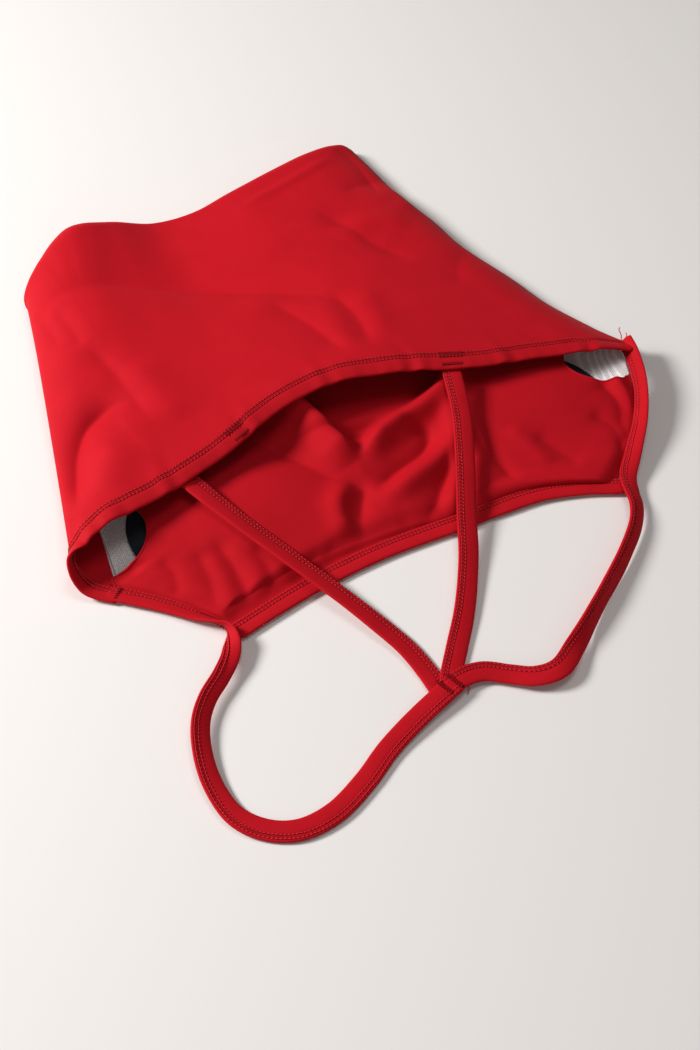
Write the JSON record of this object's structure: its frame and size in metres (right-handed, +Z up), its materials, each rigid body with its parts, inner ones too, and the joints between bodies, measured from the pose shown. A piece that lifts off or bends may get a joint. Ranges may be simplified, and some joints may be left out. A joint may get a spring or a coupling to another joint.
{
  "type": "gymnastics leotard",
  "caption": "Strappy sleeveless leotard with a scooped open back, folded at the waist, with pocketed cup pads, bound edges and straps that meet at one sewn point.",
  "frame": {"origin": "on the floor, under the middle of the garment's outline", "axes": "+Z up, +Y from the neckline towards the waist fold, +X towards the right side seam as seen from behind the neckline"},
  "size_m": [0.349, 0.4408, 0.0322],
  "materials": {
    "red_jersey": "matte satin knit",
    "red_binding_tape": "matte satin knit",
    "white_elastic": "woven",
    "white_power_mesh": "open knit",
    "cotton_lining": "matte knit",
    "black_foam": "matte",
    "red_thread": "matte"
  },
  "bodies": {
    "garment": {"back_panel": "red_jersey", "front_panel": "red_jersey", "front_lining": "red_jersey", "back_edge_binding": "red_binding_tape", "armhole_right_binding": "red_binding_tape", "neckline_binding": "red_binding_tape", "armhole_left_binding": "red_binding_tape", "leg_front_right_binding": "red_binding_tape", "leg_seat_right_binding": "red_binding_tape", "leg_front_left_binding": "red_binding_tape", "leg_seat_left_binding": "red_binding_tape", "shoulder_strap_left": "red_binding_tape", "shoulder_strap_right": "red_binding_tape", "back_strap_left": "red_binding_tape", "back_strap_right": "red_binding_tape", "back_edge_elastic": "white_elastic", "armhole_right_elastic": "white_elastic", "neckline_elastic": "white_elastic", "armhole_left_elastic": "white_elastic", "leg_front_right_elastic": "white_elastic", "leg_seat_right_elastic": "white_elastic", "leg_front_left_elastic": "white_elastic", "leg_seat_left_elastic": "white_elastic", "shoulder_strap_left_elastic": "white_elastic", "shoulder_strap_right_elastic": "white_elastic", "back_strap_left_elastic": "white_elastic", "back_strap_right_elastic": "white_elastic", "under_bust_elastic": "white_elastic", "power_mesh": "white_power_mesh", "gusset_lining": "cotton_lining", "back_tack_left": "red_thread", "back_tack_right": "red_thread", "strap_join_tack": "red_thread"},
    "pad_left": {"cup_pad_left": "black_foam"},
    "pad_right": {"cup_pad_right": "black_foam"}
  },
  "joints": [
    {"name": "pad_left_slide", "type": "slide", "parent": "garment", "child": "pad_left", "axis": [-1, 0, 0], "range_m": [0, 0.006]},
    {"name": "pad_right_slide", "type": "slide", "parent": "garment", "child": "pad_right", "axis": [1, 0, 0], "range_m": [0, 0.006]}
  ]
}
